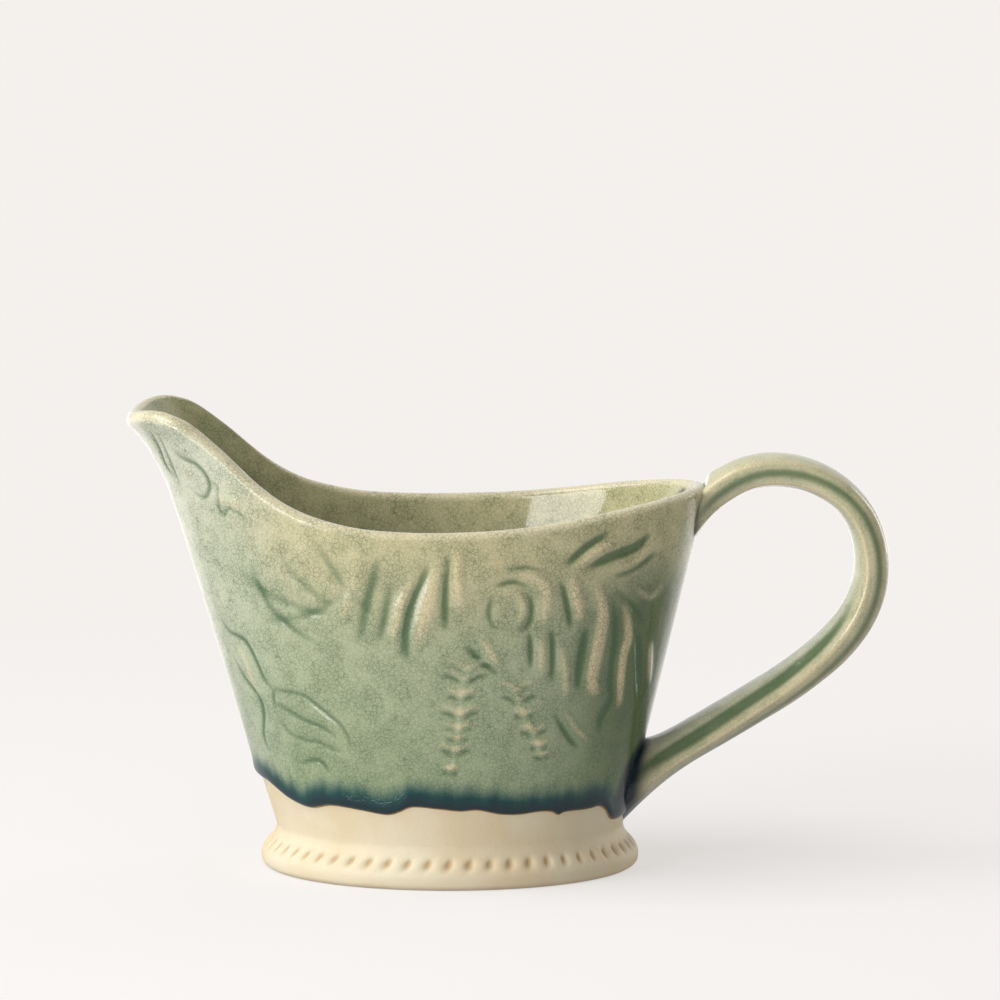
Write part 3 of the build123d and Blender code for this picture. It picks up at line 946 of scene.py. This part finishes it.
def strap_ring(middle, along, share, grow=0.0):
    """One section of the strap with its relief, made larger all round by grow."""
    sine, cosine = np.sin(strap_turns), np.cos(strap_turns)
    thick = np.interp(share, *np.array(STRAP_THICKNESS).T)
    near = (0, -1, 0)
    out = np.cross(along, near)
    across = np.sign(sine) * np.abs(sine) ** STRAP_FULLNESS * (HANDLE_HALF_WIDTH + grow)
    upright = np.sign(cosine) * np.abs(cosine) ** STRAP_FULLNESS * (thick + grow)
    relief = strap_relief(share)
    away = np.outer(sine, near) + np.outer(cosine, out)
    points = middle + np.outer(across, near) + np.outer(upright, out)
    return points + away * relief[:, None], relief


def to_wall(points, direction, depth):
    """How far each point travels in the direction before it is this deep in the wall."""
    low, high = np.full(len(points), -25.0), np.full(len(points), 40.0)
    for _ in range(HALVINGS):
        middle = (low + high) / 2
        spot = points + middle[:, None] * direction
        height = np.clip(spot[:, 2], FOOT_HEIGHT, FORM_TOP)
        widest = -WIDEST_SHIFT * bowl_share(height)
        along = (spot[:, 0] - widest) / (back_line(height) - depth - widest)
        across = spot[:, 1] / (half_width(height) - depth)
        inside = along ** 2 + across ** 2 < 1
        high = np.where(inside, middle, high)
        low = np.where(inside, low, middle)
    return low


def handle_attributes(reliefs, pool):
    """The attribute thick holds painted light on the handle: a little paler all over, and palest on
    the strap's inner face as a painted reflection.
    """
    flat = np.zeros(np.shape(reliefs))
    # Painted reflection on the strap's inner face
    painted_reflection = np.exp(-(np.degrees(strap_turns) / 55) ** 2)
    return {"relief": reliefs, "below_rim": flat + 5.0, "above_edge": flat + NO_EDGE,
            "thick": flat - 0.4 - 0.8 * painted_reflection, "pool": flat + pool}


def make_strap():
    """The strap's clay, and the coat of glaze round it."""
    shares = np.linspace(0, 1, STRAP_RINGS)
    places = list(zip(middles, alongs, shares))
    rings, reliefs = zip(*[strap_ring(*place) for place in places])
    core = np.array([strap_ring(*place, -STRAP_COAT)[0] for place in places])
    hidden = core[::-8]
    shell = np.concatenate([rings, hidden])
    shell_relief = np.concatenate([reliefs, np.zeros(hidden.shape[:2])])
    coat = lofted("handle_glaze_coat", shell, handle_glaze, True,
                  **handle_attributes(shell_relief, 0.0))
    hand_over(coat, "celadon_glaze", "handle_glaze")
    clay_rows = core[::2]
    strap = lofted("handle_strap_clay", clay_rows, clay_body, relief=np.zeros(clay_rows.shape[:2]))
    hand_over(strap, "stoneware_clay", "handle_strap")


def make_joint(name, node, end, flare, droop, ceiling, darkness):
    """Clay luted round one root of the strap: rings from the free strap to just inside the
    wall, flaring and drooping on the way and staying below the ceiling."""
    upper = end == 0
    to_bowl = -alongs[end] if upper else alongs[end]
    rings, reliefs = [], []
    steps = np.linspace(0, 1, JOINT_RINGS)
    for step in steps:
        ring, relief = strap_ring(middles[end], alongs[end], 0.0 if upper else 1.0,
                                  flare * step ** FLARE_POWER)
        ring[:, 2] -= droop * step ** 2
        travel = to_wall(ring, to_bowl, ROOT_DEPTH) * step
        ring = ring + travel[:, None] * to_bowl
        over = np.maximum(ring[:, 2] - ceiling, 0)
        ring[:, 2] -= over * smooth_step(step, 0.3, 1.0)
        rings.append(ring)
        reliefs.append(relief * (1 - step ** 2))
    pool = darkness * smooth_step(steps, 0.62, 0.85)[:, None]
    way = -1 if upper else 1               # both joints' rings run the same way as the strap's
    piece = lofted(name, rings[::way], handle_glaze,
                   **handle_attributes(reliefs[::way], pool[::way]))
    hand_over(piece, "stoneware_clay", node)


make_foot_ring()
make_floor_slab()
make_bowl_wall()
make_glaze_roll()
make_outer_glaze()
make_liner()
make_strap()
for joint in JOINTS:
    make_joint(*joint)
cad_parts["floor_seam_coil"].data.materials[0] = clay_body


# ---------------------------------------------------------------- studio

# Sizes here are in metres.
BACKDROP = rgb(244, 240, 237)
FLOOR_COLOUR = rgb(236, 234, 235)
FLOOR_HALF = 4.0
SHADOW_REACH = (0.16, 0.5)     # shadows on the floor fade out between these distances

# Softboxes: place, size, and power in watts.
SOFTBOXES = {
    "key_light": ((-0.94, -0.87, 0.3), (0.74, 0.9), 14.0),
    "top_light": ((-0.9, -0.1, 1.2), (0.9, 0.9), 11.0),
    "edge_light": ((0.95, 0.75, 0.25), (0.45, 0.9), 4.0),
}

CAMERA_PLACE = (0.0129, -1.8, 0.315)
CAMERA_DIP = 6.995             # degrees below level
FOCAL_LENGTH = 254.5           # in millimetres, as is the sensor
SENSOR_WIDTH = 36


def make_floor():
    """Pale floor that fades into the backdrop: near the boat it takes its soft shadow, and it
    throws light back at the boat mostly from behind."""
    mesh = bpy.data.meshes.new("studio_floor")
    corners = [(-1, -1), (1, -1), (1, 1), (-1, 1)]
    mesh.from_pydata([(x * FLOOR_HALF, y * FLOOR_HALF, 0) for x, y in corners], [], [(0, 1, 2, 3)])
    floor = bpy.data.objects.new("studio_floor", mesh)
    bpy.context.scene.collection.objects.link(floor)
    shader = Shader("studio_floor")
    where = shader.node("TexCoord", 3)
    distance = shader.node("VectorMath", 1, {"operation": "LENGTH"}, Vector=where)
    depth = shader.node("SeparateXYZ", 1, Vector=where)
    cast = shader.span(depth, 0.12, 0.18, 0.5, 1.6)
    seen = shader.span(distance, *SHADOW_REACH, 1.03, 1.0)
    strength = shader.span(shader.node("LightPath", 0), 0.0, 1.0, cast, seen)
    plain = shader.node("Emission", 0, Color=BACKDROP, Strength=strength)
    lit = shader.node("BsdfDiffuse", 0, Color=FLOOR_COLOUR)
    mixed = shader.tree.nodes.new("ShaderNodeMixShader")
    shader.feed(mixed.inputs[0], shader.span(distance, *SHADOW_REACH, 0.4, 0.0))
    shader.feed(mixed.inputs[1], plain)
    shader.feed(mixed.inputs[2], lit)
    shader.feed(shader.tree.nodes["Material Output"].inputs[0], mixed.outputs[0])
    mesh.materials.append(shader.material)


def make_world():
    """Plain backdrop for the camera. The boat mirrors it behind, with a dim room in front, and
    its own light comes mostly from the spout's side."""
    world = bpy.data.worlds.new("studio")
    world.use_nodes = True
    bpy.context.scene.world = world
    nodes, links = world.node_tree.nodes, world.node_tree.links
    place = nodes.new("ShaderNodeTexCoord")
    split = nodes.new("ShaderNodeSeparateXYZ")
    links.new(place.outputs["Generated"], split.inputs[0])

    def background(axis, start, end, low, high):
        """Light whose strength goes from low to high along an axis of the world."""
        span = nodes.new("ShaderNodeMapRange")
        for socket, value in zip(list(span.inputs)[1:5], (start, end, low, high)):
            socket.default_value = value
        links.new(split.outputs[axis], span.inputs[0])
        light = nodes.new("ShaderNodeBackground")
        links.new(span.outputs[0], light.inputs["Strength"])
        return light.outputs[0]

    def choose(ray, otherwise, chosen):
        """One shader for this kind of ray, and another for the rest."""
        mixed = nodes.new("ShaderNodeMixShader")
        links.new(rays.outputs[ray], mixed.inputs[0])
        links.new(otherwise, mixed.inputs[1])
        links.new(chosen, mixed.inputs[2])
        return mixed.outputs[0]

    rays = nodes.new("ShaderNodeLightPath")
    plain = nodes.new("ShaderNodeBackground")
    plain.inputs["Color"].default_value = BACKDROP
    room = background("X", -1.0, 0.5, 0.82, 0.6)
    mirrored_room = background("Y", 0.3, 0.4, 0.12, 1.1)
    light = choose("Is Glossy Ray", room, mirrored_room)
    links.new(choose("Is Camera Ray", light, plain.outputs[0]), nodes["World Output"].inputs[0])


def softbox(name, place, size, power):
    """Rectangular area light aimed at the middle of the boat."""
    light = bpy.data.lights.new(name, "AREA")
    light.shape = "RECTANGLE"
    light.size, light.size_y = size
    light.energy = power
    lamp = bpy.data.objects.new(name, light)
    lamp.location = place
    aim = (cad_low + cad_high) / 2 - lamp.location
    lamp.rotation_euler = aim.to_track_quat("-Z", "Y").to_euler()
    bpy.context.scene.collection.objects.link(lamp)


def make_camera():
    """Long lens a little above the boat, looking down at its near side."""
    lens = bpy.data.cameras.new("camera")
    lens.lens = FOCAL_LENGTH
    lens.sensor_width = SENSOR_WIDTH
    camera = bpy.data.objects.new("camera", lens)
    camera.location = CAMERA_PLACE
    camera.rotation_euler = (math.radians(90 - CAMERA_DIP), 0, 0)
    bpy.context.scene.collection.objects.link(camera)
    bpy.context.scene.camera = camera


make_floor()
make_world()
for light_name, light in SOFTBOXES.items():
    softbox(light_name, *light)
make_camera()
bpy.context.scene.view_settings.view_transform = "Standard"
